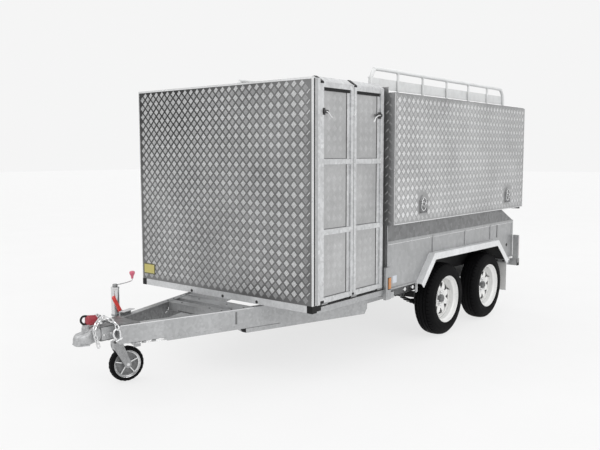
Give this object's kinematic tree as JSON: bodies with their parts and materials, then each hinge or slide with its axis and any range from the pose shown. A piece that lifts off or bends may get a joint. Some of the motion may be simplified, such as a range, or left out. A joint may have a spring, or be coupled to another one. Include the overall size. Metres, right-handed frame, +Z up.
{
  "type": "tandem axle canopy trailer",
  "caption": "Tandem-axle drawbar trailer with chequer-plate front bay, drop-down side ramp, gull-wing canopy, roof rack and jockey wheel.",
  "frame": {"origin": "centre of the bounding box in plan, at the ground under the tyres", "axes": "+Z up, +Y to the rear of the trailer, +X to its left-hand side, where the ramp is"},
  "size_m": [1.972, 4.77, 2.3107],
  "materials": {
    "galvanised": "hot-dip galvanised, dull spangle",
    "chequer": "bright five-bar chequer plate",
    "tyre": "matt",
    "rim_white": "gloss white",
    "black_steel": "black paint",
    "rack_coat": "pale grey coat",
    "flap_rubber": "matt grey",
    "lamp_red": "clear red lens",
    "zinc": "zinc plated",
    "red_plastic": "dipped red",
    "solid_rubber": "matt",
    "latch_black": "satin"
  },
  "bodies": {
    "trailer": {"axle_front": "black_steel", "axle_rear": "black_steel", "bay_shell": "chequer", "bulkhead": "chequer", "canopy_frame": "galvanised", "canopy_roof": "chequer", "chassis": "galvanised", "coupling_head": "zinc", "coupling_mount": "galvanised", "drawbar_crossmember_front": "galvanised", "drawbar_crossmember_rear": "galvanised", "drawbar_rail_left": "galvanised", "drawbar_rail_right": "galvanised", "floor_plate": "chequer", "front_frame": "galvanised", "front_sheet": "chequer", "jockey_bracket": "zinc", "mud_flap_left": "flap_rubber", "mud_flap_right": "flap_rubber", "mudguard_left": "galvanised", "mudguard_right": "galvanised", "rack_left": "rack_coat", "rack_right": "rack_coat", "rear_bar": "galvanised", "safety_chain_left": "zinc", "safety_chain_right": "zinc", "spring_left": "black_steel", "spring_right": "black_steel", "tail_lamp_left": "lamp_red", "tail_lamp_right": "lamp_red", "tub_side_left": "galvanised", "tub_side_right": "galvanised"},
    "ramp": {"ramp_frame": "galvanised", "ramp_plate": "chequer"},
    "ramp_latch_front": {"ramp_latch_front": "latch_black"},
    "ramp_latch_rear": {"ramp_latch_rear": "latch_black"},
    "lid_left": {"lid_left": "chequer"},
    "lid_right": {"lid_right": "chequer"},
    "handle_front_left": {"latch_handle_front_left": "zinc"},
    "handle_rear_left": {"latch_handle_rear_left": "zinc"},
    "handle_front_right": {"latch_handle_front_right": "zinc"},
    "handle_rear_right": {"latch_handle_rear_right": "zinc"},
    "rear_door": {"rear_door": "chequer"},
    "tailgate": {"tailgate": "galvanised"},
    "wheel_front_left": {"tyre_front_left": "tyre", "rim_front_left": "rim_white"},
    "wheel_rear_left": {"tyre_rear_left": "tyre", "rim_rear_left": "rim_white"},
    "wheel_front_right": {"tyre_front_right": "tyre", "rim_front_right": "rim_white"},
    "wheel_rear_right": {"tyre_rear_right": "tyre", "rim_rear_right": "rim_white"},
    "jockey_tube": {"jockey_tube": "zinc"},
    "jockey_leg": {"jockey_leg": "zinc"},
    "jockey_fork": {"jockey_fork": "zinc"},
    "jockey_wheel": {"jockey_wheel": "solid_rubber"},
    "jockey_crank": {"jockey_crank": "red_plastic"},
    "jockey_lever": {"jockey_lever": "red_plastic"},
    "coupling_handle": {"coupling_handle": "red_plastic"}
  },
  "joints": [
    {"name": "wheel_front_left_spin", "type": "hinge", "parent": "trailer", "child": "wheel_front_left", "pos_m": [0.8525, 0.798, 0.325], "axis": [1, 0, 0], "continuous": true},
    {"name": "wheel_front_right_spin", "type": "hinge", "parent": "trailer", "child": "wheel_front_right", "pos_m": [-0.8525, 0.798, 0.325], "axis": [1, 0, 0], "continuous": true},
    {"name": "wheel_rear_left_spin", "type": "hinge", "parent": "trailer", "child": "wheel_rear_left", "pos_m": [0.8525, 1.653, 0.325], "axis": [1, 0, 0], "continuous": true},
    {"name": "wheel_rear_right_spin", "type": "hinge", "parent": "trailer", "child": "wheel_rear_right", "pos_m": [-0.8525, 1.653, 0.325], "axis": [1, 0, 0], "continuous": true},
    {"name": "ramp_hinge", "type": "hinge", "parent": "trailer", "child": "ramp", "pos_m": [0.912, -0.6355, 0.568], "axis": [0, 1, 0], "range_deg": [0, 110]},
    {"name": "ramp_latch_front_turn", "type": "hinge", "parent": "ramp", "child": "ramp_latch_front", "pos_m": [0.921, -0.991, 1.908], "axis": [1, 0, 0], "range_deg": [0, 90]},
    {"name": "ramp_latch_rear_turn", "type": "hinge", "parent": "ramp", "child": "ramp_latch_rear", "pos_m": [0.921, -0.29, 1.908], "axis": [-1, 0, 0], "range_deg": [0, 90]},
    {"name": "lid_left_hinge", "type": "hinge", "parent": "trailer", "child": "lid_left", "pos_m": [0.957, 1.097, 2.083], "axis": [0, -1, 0], "range_deg": [0, 95]},
    {"name": "lid_right_hinge", "type": "hinge", "parent": "trailer", "child": "lid_right", "pos_m": [-0.957, 1.097, 2.083], "axis": [0, 1, 0], "range_deg": [0, 95]},
    {"name": "handle_front_left_turn", "type": "hinge", "parent": "lid_left", "child": "handle_front_left", "pos_m": [0.98, 0.279, 1.19], "axis": [1, 0, 0], "range_deg": [0, 90]},
    {"name": "handle_front_right_turn", "type": "hinge", "parent": "lid_right", "child": "handle_front_right", "pos_m": [-0.98, 0.279, 1.19], "axis": [1, 0, 0], "range_deg": [0, 90]},
    {"name": "handle_rear_left_turn", "type": "hinge", "parent": "lid_left", "child": "handle_rear_left", "pos_m": [0.98, 1.975, 1.19], "axis": [1, 0, 0], "range_deg": [0, 90]},
    {"name": "handle_rear_right_turn", "type": "hinge", "parent": "lid_right", "child": "handle_rear_right", "pos_m": [-0.98, 1.975, 1.19], "axis": [1, 0, 0], "range_deg": [0, 90]},
    {"name": "rear_door_hinge", "type": "hinge", "parent": "trailer", "child": "rear_door", "pos_m": [0, 2.375, 2.078], "axis": [1, 0, 0], "range_deg": [0, 95]},
    {"name": "tailgate_hinge", "type": "hinge", "parent": "trailer", "child": "tailgate", "pos_m": [0, 2.275, 0.577], "axis": [-1, 0, 0], "range_deg": [0, 90]},
    {"name": "jockey_swing", "type": "hinge", "parent": "trailer", "child": "jockey_tube", "pos_m": [-0.251, -1.889, 0.455], "axis": [-0.9563, -0.2924, 0], "range_deg": [0, 55]},
    {"name": "jockey_lift", "type": "slide", "parent": "jockey_tube", "child": "jockey_leg", "axis": [0, 0, 1], "range_m": [-0.15, 0.06]},
    {"name": "jockey_crank_turn", "type": "hinge", "parent": "jockey_tube", "child": "jockey_crank", "pos_m": [-0.251, -1.889, 0.7], "axis": [0, 0, 1], "range_deg": [-9000, 3600]},
    {"name": "jockey_caster", "type": "hinge", "parent": "jockey_leg", "child": "jockey_fork", "pos_m": [-0.251, -1.889, 0.28], "axis": [0, 0, 1], "continuous": true},
    {"name": "jockey_wheel_spin", "type": "hinge", "parent": "jockey_fork", "child": "jockey_wheel", "pos_m": [-0.2323, -1.8236, 0.127], "axis": [0.9613, -0.2756, 0], "continuous": true},
    {"name": "jockey_lever_turn", "type": "hinge", "parent": "trailer", "child": "jockey_lever", "pos_m": [-0.2108, -1.8767, 0.518], "axis": [0.9563, 0.2924, 0], "range_deg": [0, 55]},
    {"name": "coupling_handle_lift", "type": "hinge", "parent": "trailer", "child": "coupling_handle", "pos_m": [0, -2.219, 0.53], "axis": [-1, 0, 0], "range_deg": [0, 40]}
  ],
  "couplings": [
    {"joint": "jockey_crank_turn", "follows": "jockey_lift", "rad_per_m": 1047.2}
  ]
}
